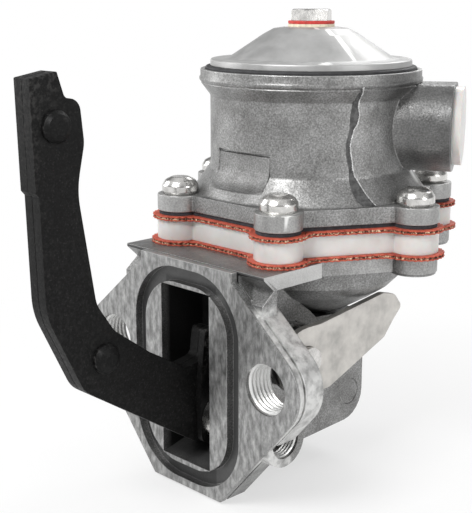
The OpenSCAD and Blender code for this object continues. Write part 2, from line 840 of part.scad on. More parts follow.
// Side view of one cheek of the link, in Y and Z
module link_outline() {
    primer_bottom = primer_z - primer_r;
    polygon(rounded([[1.2, -21.6, 3], [0.9, -6, 2], [9.5, -4.8, 3], [15, primer_bottom - 0.6, 2],
        [30, primer_bottom - 1, 6], [axis_y - 5, hook_z + crown_r, 4], [axis_y, hook_z + crown_r, 0],
        [axis_y, hook_z - crown_r, 0], [axis_y - 5, hook_z - crown_r + 0.8, 4], [22, -22, 5],
        [8, -23.4, 3]]));
    translate([axis_y, hook_z]) circle(crown_r);
}

// Upright tab on the right cheek of the link
module link_tab() {
    polygon(rounded([[0.95, -8, 0], [1, -5, 4], [2.6, 9.2, 1], [8, 9.2, 2], [9.3, -8, 0]]));
}

module link() {
    web_z = arm_tail_z - soft_gap;
    color(steel_dark) difference() {
        union() {
            side_slab(link_in, link_out) link_tab();
            for (s = [0, 1]) mirror([s, 0, 0]) side_slab(link_in, link_out) link_outline();
            side_slab(-link_in - eps, link_in + eps)
                polygon([[14.5, web_z - link_t], [21.5, web_z - link_t], [21.5, web_z], [14.5, web_z]]);
        }
        x_rod(-link_out - 1, link_out + 1, pivot_y, pivot_z, pin_r + run_gap);
    }
}

module pivot_pin() {
    color(plated) x_rod(-box_half - 2.8, pin_end, pivot_y, pivot_z, pin_r);
}

module distance_bushes() {
    color(plated) for (s = [0, 1]) mirror([s, 0, 0]) difference() {
        x_rod(link_out + 0.15, chamber_half - fit, pivot_y, pivot_z, distance_bush_r);
        x_rod(0, box_half, pivot_y, pivot_z, pin_r + run_gap);
    }
}

module rocker_spring() {
    color(plated) translate([0, horn_back + 0.02, arm_spring_z]) rotate([-90, 0, 0])
        coil(2.3, 0.45, seat_rib_y - horn_back - 0.04, 3, 16);
}

// Primer lever

module primer_outline() {
    back = primer_y - primer_hub_r;
    hub_round = primer_hub_r - 0.1;
    polygon(rounded([[26.6, primer_z + primer_hub_r - 0.3, 20], [52.8, 12.9, 4], [57.9, 11.6, 3],
        [61.3, 7.6, 1.5], [57.6, 4.2, 0.8], [53.7, -0.1, 3], [46, -3.1, 6],
        [30.4, primer_z - primer_hub_r - 0.2, 6],
        [back, primer_z - primer_hub_r, hub_round], [back, primer_z + primer_hub_r, hub_round]], 8));
}

module primer_lever() {
    color(zinc) difference() {
        side_slab(primer_x, primer_x + primer_t) primer_outline();
        x_rod(primer_x - 1, primer_x + primer_t + 1, primer_y, primer_z, primer_r - 1);
    }
}

// Shaft with a flat on its working part and a shouldered end for the lever
module primer_shaft() {
    color(plated) difference() {
        union() {
            x_rod(-box_half - 0.5, primer_x, primer_y, primer_z, primer_r);
            x_rod(primer_x - eps, shaft_end, primer_y, primer_z, primer_r - 1 - fit);
        }
        translate([-chamber_half + 0.5, primer_y - primer_r - 1, primer_z - primer_r - 1])
            cube([2 * chamber_half - 1, 2 * primer_r + 2, 4]);
    }
}

module primer_spring() {
    color(plated) translate([box_half + 3.2, primer_y, primer_z]) rotate([0, 90, 0])
        coil(primer_boss_r + 0.9, 0.5, 4, 3, 20);
}

lower_housing();
upper_housing();
top_cover();
cover_seal();
cover_bolt();
red_washer();
cream_washer();
strainer();
flange_screws();
flange_gasket();
upper_diaphragm();
lower_diaphragm();
spacer_ring();
pivot_pin();
distance_bushes();
outlet_plug();
inlet_plug();
inlet_valve_cage();
outlet_valve_cage();
inlet_valve_disc();
outlet_valve_disc();
inlet_valve_spring();
outlet_valve_spring();
rod_seal();
spring_washer();
diaphragm_spring();
rocker_spring();
arm_plate_left();
arm_plate_right();
arm_rivets();
arm_bush();
link();
pull_rod();
upper_plate();
lower_plate();
spool();
rod_nut();
primer_lever();
primer_shaft();
primer_spring();
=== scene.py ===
import json
import math

import bmesh
import bpy
from mathutils import Matrix, Vector


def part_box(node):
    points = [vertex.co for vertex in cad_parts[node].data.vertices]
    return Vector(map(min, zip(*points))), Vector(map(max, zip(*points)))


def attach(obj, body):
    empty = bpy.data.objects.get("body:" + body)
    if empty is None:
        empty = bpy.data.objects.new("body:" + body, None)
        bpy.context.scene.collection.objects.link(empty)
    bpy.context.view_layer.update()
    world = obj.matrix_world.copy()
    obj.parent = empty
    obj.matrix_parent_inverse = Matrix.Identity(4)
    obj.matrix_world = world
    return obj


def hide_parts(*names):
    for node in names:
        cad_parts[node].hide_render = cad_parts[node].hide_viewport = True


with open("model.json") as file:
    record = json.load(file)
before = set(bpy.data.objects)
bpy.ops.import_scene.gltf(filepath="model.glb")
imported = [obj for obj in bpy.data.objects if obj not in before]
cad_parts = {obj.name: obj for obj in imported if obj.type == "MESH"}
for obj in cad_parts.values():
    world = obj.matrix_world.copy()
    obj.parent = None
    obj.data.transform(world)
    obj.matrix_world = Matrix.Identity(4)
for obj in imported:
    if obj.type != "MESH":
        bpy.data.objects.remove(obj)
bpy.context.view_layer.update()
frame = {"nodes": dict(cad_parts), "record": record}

# Sizes in millimetres, as on the solids
MM = 0.001
AXIS_Y = 47.3
SCREW_CIRCLE_R = 36.8
SCREW_ANGLES = [60 * k for k in range(6)]
SCREW_HEAD_H = 4.5
FIX_HOLES_X = (-28.9, 28.9)
FIX_HOLE_R = 6.5
PIVOT = (7.0, -15.2)
LUG_BORE_R = 4.6
# Half width of the lever chamber with its walls' skin, in metres, for the painted shade inside it
CHAMBER_X = 0.0093


def top_of(node):
    """Height of a node's top in millimetres."""
    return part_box(node)[1][2] / MM


def bottom_of(node):
    """Height of a node's foot in millimetres."""
    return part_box(node)[0][2] / MM


# Camera, at the place that the photograph was taken from
CAMERA_AT = (199.61, -177.68, 94.02)
CAMERA_BACK = (0.6922, -0.6808, 0.2394)
CAMERA_RIGHT = (0.7012, 0.7130, 0.0)
LENS_MM = 75.95
SENSOR_MM = 36.0
FLOOR_Z = -36.0
# Tone of the sky against the height of the direction
SKY = [(0.1, 1.0), (0.3, 0.2), (0.55, 0.25), (0.85, 0.85)]


def add_camera():
    data = bpy.data.cameras.new("camera")
    data.sensor_fit = "VERTICAL"
    data.sensor_height = SENSOR_MM
    data.lens = LENS_MM
    data.clip_start = 0.01
    cam = bpy.data.objects.new("camera", data)
    back = Vector(CAMERA_BACK).normalized()
    right = Vector(CAMERA_RIGHT).normalized()
    up = back.cross(right)
    turn = Matrix((right, up, back)).transposed().to_4x4()
    cam.matrix_world = Matrix.Translation(Vector(CAMERA_AT) * MM) @ turn
    bpy.context.scene.collection.objects.link(cam)
    bpy.context.scene.camera = cam


def add_lamp(name, at, size, energy, target=(0, 30, 25)):
    """Soft box at a place in millimetres, turned to the object."""
    data = bpy.data.lights.new(name, "AREA")
    data.shape = "RECTANGLE"
    data.size = size[0] * MM
    data.size_y = size[1] * MM
    data.energy = energy
    lamp = bpy.data.objects.new(name, data)
    lamp.location = Vector(at) * MM
    lamp.rotation_euler = (Vector(target) - Vector(at)).to_track_quat("-Z", "Y").to_euler()
    bpy.context.scene.collection.objects.link(lamp)


def seen_directly(tree):
    """One for rays from the camera and for reflections and glass, so that these show the background."""
    path = tree.nodes.new("ShaderNodeLightPath")
    first = tree.nodes.new("ShaderNodeMath")
    first.operation = "MAXIMUM"
    tree.links.new(path.outputs["Is Camera Ray"], first.inputs[0])
    tree.links.new(path.outputs["Is Glossy Ray"], first.inputs[1])
    second = tree.nodes.new("ShaderNodeMath")
    second.operation = "MAXIMUM"
    tree.links.new(first.outputs[0], second.inputs[0])
    tree.links.new(path.outputs["Is Transmission Ray"], second.inputs[1])
    return second.outputs[0]


def add_world():
    """White round the horizon and overhead with a dim band between, so that metal has light and dark to show."""
    world = bpy.data.worlds.new("studio")
    world.use_nodes = True
    bpy.context.scene.world = world
    tree = world.node_tree
    where = tree.nodes.new("ShaderNodeTexCoord")
    parts = tree.nodes.new("ShaderNodeSeparateXYZ")
    ramp = tree.nodes.new("ShaderNodeValToRGB")
    marks = ramp.color_ramp.elements
    while len(marks) < len(SKY):
        marks.new(0.5)
    for mark, (place, tone) in zip(marks, SKY):
        mark.position = place
        mark.color = (tone, tone, tone, 1)
    tree.links.new(where.outputs["Generated"], parts.inputs[0])
    tree.links.new(parts.outputs["Z"], ramp.inputs[0])
    shown = tree.nodes["Background"]
    tree.links.new(ramp.outputs[0], shown.inputs["Color"])
    ambient = tree.nodes.new("ShaderNodeBackground")
    ambient.inputs["Color"].default_value = (0.5, 0.5, 0.5, 1)
    ambient.inputs["Strength"].default_value = 0.6
    mix = tree.nodes.new("ShaderNodeMixShader")
    tree.links.new(seen_directly(tree), mix.inputs[0])
    tree.links.new(ambient.outputs[0], mix.inputs[1])
    tree.links.new(shown.outputs[0], mix.inputs[2])
    tree.links.new(mix.outputs[0], tree.nodes["World Output"].inputs["Surface"])


def add_floor():
    """Wide pale floor that keeps a soft shadow near the object and is plain white further out."""
    mesh = bpy.data.meshes.new("floor")
    half = 6.0
    z = FLOOR_Z * MM
    mesh.from_pydata([(-half, -half, z), (half, -half, z), (half, half, z), (-half, half, z)], [], [(0, 1, 2, 3)])
    floor = bpy.data.objects.new("floor", mesh)
    bpy.context.scene.collection.objects.link(floor)
    p = Paint("floor_paint", (0.85, 0.85, 0.85), rough=0.9)
    white = p.tree.nodes.new("ShaderNodeEmission")
    white.inputs["Color"].default_value = (1, 1, 1, 1)
    reach = p.tree.nodes.new("ShaderNodeVectorMath")
    reach.operation = "LENGTH"
    p.join(p.where, reach.inputs[0])
    share = p.math("MULTIPLY", seen_directly(p.tree), p.span(reach.outputs["Value"], 0.06, 0.2, 0.6, 1.0))
    mix = p.tree.nodes.new("ShaderNodeMixShader")
    p.join(share, mix.inputs[0])
    p.join(p.bsdf.outputs[0], mix.inputs[1])
    p.join(white.outputs[0], mix.inputs[2])
    p.join(mix.outputs[0], p.tree.nodes["Material Output"].inputs["Surface"])
    floor.data.materials.append(p.mat)


# Materials


class Paint:
    """A node material that is built up step by step."""

    def __init__(self, name, colour, metal=0.0, rough=0.5):
        self.mat = bpy.data.materials.new(name)
        self.mat.use_nodes = True
        self.tree = self.mat.node_tree
        self.bsdf = self.tree.nodes["Principled BSDF"]
        self.bsdf.inputs["Base Color"].default_value = (*colour, 1)
        self.bsdf.inputs["Metallic"].default_value = metal
        self.bsdf.inputs["Roughness"].default_value = rough
        self.where = self.tree.nodes.new("ShaderNodeTexCoord").outputs["Object"]
        self.height = None

    def join(self, a, b):
        self.tree.links.new(a, b)

    def noise(self, scale, detail=4.0, stretch=(1, 1, 1), rough=0.55):
        """Noise with so many lumps to a metre; stretch draws it out along an axis."""
        spread = self.tree.nodes.new("ShaderNodeMapping")
        spread.inputs["Scale"].default_value = stretch
        node = self.tree.nodes.new("ShaderNodeTexNoise")
        node.inputs["Scale"].default_value = scale
        node.inputs["Detail"].default_value = detail
        node.inputs["Roughness"].default_value = rough
        self.join(self.where, spread.inputs[0])
        self.join(spread.outputs[0], node.inputs["Vector"])
        return node.outputs[0]

    def ramp(self, value, stops):
        """Turns a value into a colour; stops are (position, colour)."""
        node = self.tree.nodes.new("ShaderNodeValToRGB")
        marks = node.color_ramp.elements
        while len(marks) < len(stops):
            marks.new(0.5)
        for mark, (place, colour) in zip(marks, stops):
            mark.position = place
            mark.color = (*colour, 1)
        self.join(value, node.inputs[0])
        return node.outputs[0]

    def span(self, value, low, high, out_low, out_high):
        """Maps a value from one range to another, clamped."""
        node = self.tree.nodes.new("ShaderNodeMapRange")
        for key, number in zip(("From Min", "From Max", "To Min", "To Max"), (low, high, out_low, out_high)):
            node.inputs[key].default_value = number
        self.join(value, node.inputs["Value"])
        return node.outputs[0]

    def math(self, kind, a, b):
        node = self.tree.nodes.new("ShaderNodeMath")
        node.operation = kind
        for socket, value in zip(node.inputs, (a, b)):
            if isinstance(value, (int, float)):
                socket.default_value = value
            else:
                self.join(value, socket)
        return node.outputs[0]

    def blend(self, share, a, b, kind="MIX"):
        """Mixes two colours by a share."""
        node = self.tree.nodes.new("ShaderNodeMix")
        node.data_type = "RGBA"
        node.blend_type = kind
        self.put(share, node.inputs["Factor"])
        self.put(a, node.inputs[6])
        self.put(b, node.inputs[7])
        return node.outputs[2]

    def put(self, value, socket):
        if isinstance(value, (int, float)):
            socket.default_value = value
        elif isinstance(value, tuple):
            socket.default_value = (*value, 1)
        else:
            self.join(value, socket)

    def set(self, key, value):
        self.put(value, self.bsdf.inputs[key])

    def bump(self, value, depth_mm, strength=1.0):
        """Adds a relief of the given depth on top of what is there."""
        node = self.tree.nodes.new("ShaderNodeBump")
        node.inputs["Distance"].default_value = depth_mm * MM
        node.inputs["Strength"].default_value = strength
        self.join(value, node.inputs["Height"])
        if self.height:
            self.join(self.height, node.inputs["Normal"])
        self.height = node.outputs[0]
        self.join(self.height, self.bsdf.inputs["Normal"])

    def edge_wear_and_highlight(self, low=0.52, high=0.6):
        """One on sharp outer edges, nothing elsewhere."""
        shape = self.tree.nodes.new("ShaderNodeNewGeometry")
        return self.span(shape.outputs["Pointiness"], low, high, 0.0, 1.0)

    def facing(self, axis, low=0.9, high=0.98):
        """One where the surface faces along an axis of the frame."""
        shape = self.tree.nodes.new("ShaderNodeNewGeometry")
        turn = self.tree.nodes.new("ShaderNodeVectorMath")
        turn.operation = "DOT_PRODUCT"
        self.join(shape.outputs["True Normal"], turn.inputs[0])
        turn.inputs[1].default_value = axis
        return self.span(turn.outputs["Value"], low, high, 0.0, 1.0)

    def coordinate(self, letter):
        parts = self.tree.nodes.new("ShaderNodeSeparateXYZ")
        self.join(self.where, parts.inputs[0])
        return parts.outputs[letter]


def cast_alloy():
    """Die-cast aluminium: grey skin with a fine grain, sharp edges painted pale as a highlight, a machined front
    face, and painted shade in the lever chamber, on a recessed front face, by the port and on the ledge under the
    diaphragms.
    """
    p = Paint("cast_alloy", (0.3, 0.3, 0.3), metal=0.8, rough=0.4)
    grain = p.noise(2300, 4, rough=0.6)
    skin = p.ramp(grain, [(0.32, (0.17, 0.17, 0.168)), (0.5, (0.28, 0.28, 0.277)), (0.68, (0.42, 0.42, 0.415))])
    tone = p.ramp(p.noise(120, 6), [(0.36, (0.6, 0.595, 0.59)), (0.6, (1, 1, 1))])
    cast = p.blend(0.8, skin, tone, "MULTIPLY")
    # Painted highlight: sharp outer edges of the casting are painted pale.
    cast = p.blend(p.edge_wear_and_highlight(0.53, 0.6), cast, (0.8, 0.8, 0.79))
    strokes = p.noise(700, 5, (1.0, 1.0, 0.4), 0.65)
    brushed = p.ramp(strokes, [(0.32, (0.15, 0.15, 0.148)), (0.5, (0.31, 0.31, 0.307)), (0.68, (0.52, 0.52, 0.515))])
    x, y, z = (p.coordinate(letter) for letter in "XYZ")
    front = p.facing((0, -1, 0))
    machined = p.math("MULTIPLY", front, p.span(y, 0.0001, 0.0004, 1.0, 0.0))
    colour = p.blend(machined, cast, brushed)
    # Painted shade: front faces set back 1.4 to 3 mm behind the machined face are painted dark.
    groove_shade = p.math("MULTIPLY", front, p.span(y, 0.0014, 0.0018, 0.0, 1.0))
    groove_shade = p.math("MULTIPLY", groove_shade, p.span(y, 0.0026, 0.003, 1.0, 0.0))
    colour = p.blend(groove_shade, colour, (0.1, 0.1, 0.1))
    across = p.math("ABSOLUTE", x, 0.0)
    # Painted shade: the inside of the lever chamber is painted near black and made less metallic.
    chamber_shade = p.math("MULTIPLY", p.span(across, CHAMBER_X, CHAMBER_X + 0.0003, 1.0, 0.0), p.span(y, 0.0006, 0.003, 0.0, 1.0))
    chamber_shade = p.math("MULTIPLY", chamber_shade, p.span(z, 0.021, 0.022, 1.0, 0.0))
    colour = p.blend(chamber_shade, colour, (0.012, 0.012, 0.012))
    # Painted shade: the right side of the upper housing by the port is painted darker, for the dark it reflects.
    port_shade = p.math("MULTIPLY", p.span(x, 0.026, 0.031, 0.0, 0.6), p.span(z, 0.047, 0.05, 0.0, 1.0))
    colour = p.blend(port_shade, colour, (0.06, 0.06, 0.06))
    # Painted shadow: upward faces below 26 to 28 mm, under the diaphragms, are painted dark.
    ledge_shadow = p.math("MULTIPLY", p.facing((0, 0, 1)), p.span(z, 0.026, 0.028, 0.75, 0.0))
    colour = p.blend(ledge_shadow, colour, (0.08, 0.08, 0.08))
    sawn = p.math("MULTIPLY", p.span(across, 0.022, 0.026, 0.0, 1.0), p.span(y, 0.0004, 0.0008, 0.0, 1.0))
    sawn = p.math("MULTIPLY", sawn, p.span(y, 0.0085, 0.0095, 1.0, 0.0))
    sawn = p.math("MULTIPLY", sawn, p.span(z, 0.018, 0.02, 1.0, 0.0))
    sawn = p.math("MULTIPLY", sawn, p.span(p.noise(420, 5), 0.35, 0.6, 0.25, 1.0))
    colour = p.blend(sawn, colour, (0.7, 0.7, 0.69))
    p.set("Base Color", colour)
    # Less metallic where the chamber's shade is painted.
    p.set("Metallic", p.span(chamber_shade, 0, 1, 0.8, 0.1))
    p.set("Roughness", p.span(p.noise(500, 4), 0.3, 0.7, 0.32, 0.5))
    relief = p.math("MULTIPLY", p.noise(1900, 4), p.span(machined, 0, 1, 1.0, 0.3))
    p.bump(relief, 0.07)
    p.bump(p.noise(240, 3), 0.12, 0.5)
    return p.mat


def parting_alloy_lit_shaded(name, tone):
    """Casting metal where the dies met: one copy painted dark as shade for the step, one painted bright as a
    highlight for the torn crest.
    """
    p = Paint(name, (tone, tone, tone), metal=0.5, rough=0.5)
    dark = 0.5 * tone
    p.set("Base Color", p.ramp(p.noise(900, 4), [(0.38, (dark, dark, dark)), (0.6, (tone, tone, tone))]))
    p.bump(p.noise(1500, 3), 0.06)
    return p.mat


def cover_metal():
    """Pressed sheet with a mottled tone; the faint rings from spinning are not drawn."""
    p = Paint("cover_metal", (0.5, 0.5, 0.5), metal=0.5, rough=0.45)
    tone = p.ramp(p.noise(150, 6), [(0.3, (0.34, 0.34, 0.337)), (0.55, (0.42, 0.42, 0.417)), (0.7, (0.46, 0.46, 0.455))])
    # Painted highlight: the cover's sharp edges are painted pale.
    p.set("Base Color", p.blend(p.edge_wear_and_highlight(0.52, 0.58), tone, (0.85, 0.85, 0.84)))
    p.set("Roughness", p.span(p.noise(300, 4), 0.3, 0.7, 0.36, 0.52))
    p.bump(p.noise(900, 3), 0.03)
    return p.mat


def plated_steel(name="plated_steel", colour=(0.74, 0.73, 0.71), rough=0.2):
    p = Paint(name, colour, metal=1.0, rough=rough)
    dull = tuple(0.7 * c for c in colour)
    p.set("Base Color", p.ramp(p.noise(350, 4), [(0.35, dull), (0.65, colour)]))
    p.set("Roughness", p.span(p.noise(500, 3), 0.3, 0.7, rough * 0.7, rough * 1.6))
    p.bump(p.noise(1500, 3), 0.02)
    return p.mat


def zinc_steel():
    p = Paint("zinc_steel", (0.62, 0.6, 0.57), metal=0.75, rough=0.42)
    tone = p.ramp(p.noise(200, 5), [(0.3, (0.42, 0.41, 0.39)), (0.55, (0.6, 0.58, 0.55)), (0.75, (0.7, 0.68, 0.64))])
    p.set("Base Color", tone)
    p.set("Roughness", p.span(p.noise(260, 4), 0.3, 0.7, 0.34, 0.52))
    p.bump(p.noise(1100, 4), 0.04)
    return p.mat


def black_steel():
    """Black oxide: nearly black, with paler rubbed edges and a fine grain."""
    p = Paint("black_steel", (0.01, 0.01, 0.01), metal=0.0, rough=0.5)
    grain = p.noise(2200, 6)
    tone = p.ramp(grain, [(0.4, (0.002, 0.002, 0.002)), (0.6, (0.006, 0.006, 0.006)), (0.74, (0.03, 0.029, 0.028))])
    worn = p.math("MULTIPLY", p.edge_wear_and_highlight(0.54, 0.62), p.span(p.noise(900, 4), 0.48, 0.62, 0.0, 0.5))
    p.set("Base Color", p.blend(worn, tone, (0.16, 0.155, 0.15)))
    p.set("Roughness", p.span(p.noise(1200, 5), 0.3, 0.7, 0.4, 0.6))
    p.bsdf.inputs["Specular IOR Level"].default_value = 0.16
    p.bump(p.noise(1800, 4), 0.05)
    return p.mat


def black_rubber():
    p = Paint("black_rubber", (0.02, 0.02, 0.022), rough=0.62)
    p.set("Base Color", p.ramp(p.noise(500, 4), [(0.35, (0.012, 0.012, 0.014)), (0.7, (0.035, 0.035, 0.037))]))
    p.bump(p.noise(1800, 3), 0.03)
    return p.mat


def fibre(name, colour):
    """Pressed fibre washer with short flecks."""
    p = Paint(name, colour, rough=0.6)
    dark = tuple(0.72 * c for c in colour)
    p.set("Base Color", p.ramp(p.noise(900, 5, (1, 1, 0.3)), [(0.3, dark), (0.65, colour)]))
    p.bump(p.noise(1500, 3), 0.04)
    return p.mat


def coated_fabric():
    """Brick-red rubber over cloth."""
    p = Paint("coated_fabric", (0.5, 0.085, 0.045), rough=0.55)
    tone = p.ramp(p.noise(420, 5), [(0.3, (0.34, 0.05, 0.028)), (0.55, (0.5, 0.085, 0.045)), (0.75, (0.58, 0.13, 0.08))])
    p.set("Base Color", tone)
    p.bump(p.noise(2200, 2), 0.05)
    return p.mat


def fabric_edge():
    """Cut edge of the cloth core: brown and cream threads."""
    p = Paint("fabric_edge", (0.5, 0.32, 0.18), rough=0.85)
    tone = p.ramp(p.noise(1300, 2), [(0.4, (0.05, 0.018, 0.012)), (0.52, (0.26, 0.09, 0.05)), (0.64, (0.72, 0.56, 0.38))])
    p.set("Base Color", tone)
    p.bump(p.noise(2500, 3), 0.12)
    return p.mat


def clear_plastic():
    p = Paint("clear_plastic", (0.66, 0.64, 0.62), rough=0.3)
    p.set("Base Color", p.ramp(p.noise(90, 3), [(0.3, (0.58, 0.55, 0.53)), (0.7, (0.7, 0.69, 0.67))]))
    p.bsdf.inputs["Subsurface Weight"].default_value = 0.25
    p.bsdf.inputs["Subsurface Scale"].default_value = 0.002
    p.bump(p.noise(600, 2), 0.02)
    return p.mat


def gasket_paper():
    p = Paint("gasket_paper", (0.03, 0.032, 0.036), rough=0.8)
    p.set("Base Color", p.ramp(p.noise(800, 5), [(0.3, (0.018, 0.02, 0.023)), (0.7, (0.045, 0.048, 0.055))]))
    p.bump(p.noise(2000, 3), 0.05)
    return p.mat


def brass():
    p = Paint("brass", (0.65, 0.48, 0.22), metal=1.0, rough=0.3)
    p.set("Base Color", p.ramp(p.noise(240, 4), [(0.3, (0.45, 0.32, 0.14)), (0.7, (0.7, 0.53, 0.26))]))
    p.bump(p.noise(1200, 3), 0.02)
    return p.mat


MATERIALS = {
    "cast_alloy": cast_alloy(),
    # Two copies of one alloy for the parting line, one with painted shade and one with painted highlight.
    "parting_shade_alloy": parting_alloy_lit_shaded("parting_shade_alloy", 0.11),
    "parting_highlight_alloy": parting_alloy_lit_shaded("parting_highlight_alloy", 0.8),
    "cover_metal": cover_metal(),
    "plated_steel": plated_steel(),
    "spring_steel": plated_steel("spring_steel", (0.5, 0.5, 0.5), 0.28),
    "zinc_steel": zinc_steel(),
    "black_steel": black_steel(),
    "black_rubber": black_rubber(),
    "red_fibre": fibre("red_fibre", (0.62, 0.05, 0.04)),
    "cream_fibre": fibre("cream_fibre", (0.8, 0.72, 0.55)),
    "coated_fabric": coated_fabric(),
    "fabric_edge": fabric_edge(),
    "clear_plastic": clear_plastic(),
    "gasket_paper": gasket_paper(),
    "brass": brass(),
}


def dress_nodes():
    """Gives every node of the frame the material of its slot."""
    for row in frame["record"]["subparts"]:
        node = frame["nodes"][row["node"]]
        node.data.materials.clear()
        node.data.materials.append(MATERIALS[row["material_slot"]])


def soften(node_name, width_mm, segments=2, angle=32, clamp=True, dissolve=True):
    """Rounds a node's sharp edges with modifiers; its own mesh stays as it is."""
    node = frame["nodes"][node_name]
    weld = node.modifiers.new("weld", "WELD")
    weld.merge_threshold = 0.002 * MM
    if dissolve:
        flat = node.modifiers.new("flat", "DECIMATE")
        flat.decimate_type = "DISSOLVE"
        flat.angle_limit = math.radians(1.5)
    edge = node.modifiers.new("edge", "BEVEL")
    edge.width = width_mm * MM
    edge.segments = segments
    edge.limit_method = "ANGLE"
    edge.angle_limit = math.radians(angle)
    edge.use_clamp_overlap = clamp
    edge.miter_outer = "MITER_ARC"
    split = node.modifiers.new("split", "EDGE_SPLIT")
    split.use_edge_sharp = False
    split.split_angle = math.radians(35)
    shade = node.modifiers.new("shade", "WEIGHTED_NORMAL")
    shade.mode = "FACE_AREA"
    shade.weight = 80
    for face in node.data.polygons:
        face.use_smooth = True


# Mesh helpers


def add_piece(name, verts, faces, body, slot, material=None, replaces=(), smooth=True):
    """Makes a mesh from points in millimetres and hangs it on its body."""
    mesh = bpy.data.meshes.new(name)
    mesh.from_pydata([tuple(c * MM for c in v) for v in verts], [], faces)
    tidy = bmesh.new()
    tidy.from_mesh(mesh)
    bmesh.ops.recalc_face_normals(tidy, faces=tidy.faces)
    tidy.to_mesh(mesh)
    tidy.free()
    mesh.materials.append(MATERIALS[material or slot])
    piece = bpy.data.objects.new(name, mesh)
    bpy.context.scene.collection.objects.link(piece)
    if smooth:
        mesh.shade_smooth()
        mesh.set_sharp_from_angle(angle=math.radians(35))
    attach(piece, body)
    if replaces:
        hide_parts(*replaces)
    return piece


def lathe(profile, steps=128, centre=(0, AXIS_Y), ring=False):
    """Turns a profile of (radius, height) round the pump axis. A ring profile is closed on itself."""
    verts, faces = [], []
    rows = []
    for r, z in profile:
        if r < 1e-6:
            rows.append([len(verts)])
            verts.append((centre[0], centre[1], z))
            continue
        rows.append(list(range(len(verts), len(verts) + steps)))
        for k in range(steps):
            a = 2 * math.pi * k / steps
            verts.append((centre[0] + r * math.cos(a), centre[1] + r * math.sin(a), z))
    pairs = list(zip(rows, rows[1:]))
    if ring:
        pairs.append((rows[-1], rows[0]))
    for low, high in pairs:
        for k in range(steps):
            n = (k + 1) % steps
            quad = [low[k % len(low)], low[n % len(low)], high[n % len(high)], high[k % len(high)]]
            quad = list(dict.fromkeys(quad))
            if len(quad) > 2:
                faces.append(quad)
    return verts, faces


def round_profile(corners, steps=5):
    """Profile with each corner (r, z, radius) rounded by an arc of its radius."""
    out = []
    for i, (x, y, radius) in enumerate(corners):
        if radius == 0 or i in (0, len(corners) - 1):
            out.append((x, y))
            continue
        here = Vector((x, y))
        u = (Vector(corners[i - 1][:2]) - here).normalized()
        v = (Vector(corners[i + 1][:2]) - here).normalized()
        half = u.angle(v) / 2
        reach = radius / math.tan(half)
        for k in range(steps + 1):
            t = k / steps
            a = here + u * reach * (1 - t)
            b = here + v * reach * t
            mid = a.lerp(b, t)
            out.append((mid.x, mid.y))
    return out


def add_cover():
    """Domed top cover with its brim and the bright ring under the washers."""
    z = bottom_of("top_cover")
    top = top_of("top_cover")
    h = top - z
    corners = [(0, top, 0), (5.1, top, 0.2), (7.2, top, 1.2), (10.2, top - 0.4, 1.5), (13.0, top - 1.9, 2.5),
               (22.4, z + 2.2, 1.6), (24, z + 1.9, 0.6), (27.4, z + 1.9, 0.6), (27.5, z + 0.2, 0.2), (27.2, z, 0)]
    inner = [(22, z, 0), (21, z + 1.8, 1), (11, z + h - 2.2, 2), (8, z + h - 1.3, 1), (0, z + h - 1.3, 0)]
    profile = round_profile(corners) + round_profile(inner)
    verts, faces = lathe(profile, 160)
    add_piece("top_cover_skin", verts, faces, "pump_body", "cover_metal", replaces=["top_cover"])


def add_round_washer(node, material):
    low, high = bottom_of(node), top_of(node)
    edge = 0.18
    profile = round_profile([(3.1, low, 0), (6.3, low, edge), (6.3, high, edge), (3.1, high, 0)], 3)
    verts, faces = lathe(profile, 72, ring=True)
    add_piece(node + "_disc", verts, faces, "pump_body", material, replaces=[node])


def add_cover_seal():
    low = bottom_of("cover_seal")
    profile = round_profile([(23, low, 0), (28.7, low, 0.3), (28.8, low + 1.2, 0.5), (27.6, low + 1.35, 0.3), (23, low + 1.2, 0)], 4)
    verts, faces = lathe(profile, 160, ring=True)
    add_piece("cover_seal_ring", verts, faces, "pump_body", "black_rubber", replaces=["cover_seal"])


# Flange stack


def lobed_outline(corner_r, lobe_r, blend_r=4.0, steps=14):
    """Six-sided outline with a round lobe at each screw, blended into the sides, as points round the pump axis."""
    points = []
    for k in range(6):
        a = math.radians(60 * k)
        centre = Vector((SCREW_CIRCLE_R * math.cos(a), SCREW_CIRCLE_R * math.sin(a)))
        side = a + math.radians(30)
        normal = Vector((math.cos(side), math.sin(side)))
        along = Vector((-math.sin(side), math.cos(side)))
        drop = corner_r * math.cos(math.radians(30)) - centre.dot(normal)
        reach = math.radians(120) - math.asin((drop + blend_r) / (lobe_r + blend_r))
        for s in range(-steps, steps + 1):
            turn = a + reach * s / steps
            points.append(centre + Vector((math.cos(turn), math.sin(turn))) * lobe_r)
        foot = centre + Vector((math.cos(a + reach), math.sin(a + reach))) * (lobe_r + blend_r)
        start = (centre - foot).normalized()
        end = -normal
        for s in range(1, steps):
            mix = start.lerp(end, s / steps).normalized()
            points.append(foot + mix * blend_r)
        mirror_foot = foot.reflect(along)
        for s in range(1, steps):
            mix = start.lerp(end, 1 - s / steps).normalized().reflect(along)
            points.append(mirror_foot + mix * blend_r)
    return points


def densify(points, pitch):
    """Evenly spaced points along a closed outline."""
    total = sum((points[i] - points[i - 1]).length for i in range(len(points)))
    count = int(total / pitch)
    out = []
    i, left, need = 0, 0.0, 0.0
    step = total / count
    for k in range(count):
        need = k * step
        while True:
            seg = (points[(i + 1) % len(points)] - points[i % len(points)]).length
            if left + seg >= need or i > len(points) * 2:
                break
            left += seg
            i += 1
        t = (need - left) / seg if seg > 0 else 0
        out.append(points[i % len(points)].lerp(points[(i + 1) % len(points)], t))
    return out


def inward(points, amount):
    """Outline moved inwards, point by point, along its local normal."""
    out = []
    for i, p in enumerate(points):
        along = (points[(i + 1) % len(points)] - points[i - 1]).normalized()
        out.append(p + Vector((-along.y, along.x)) * amount)
    return out


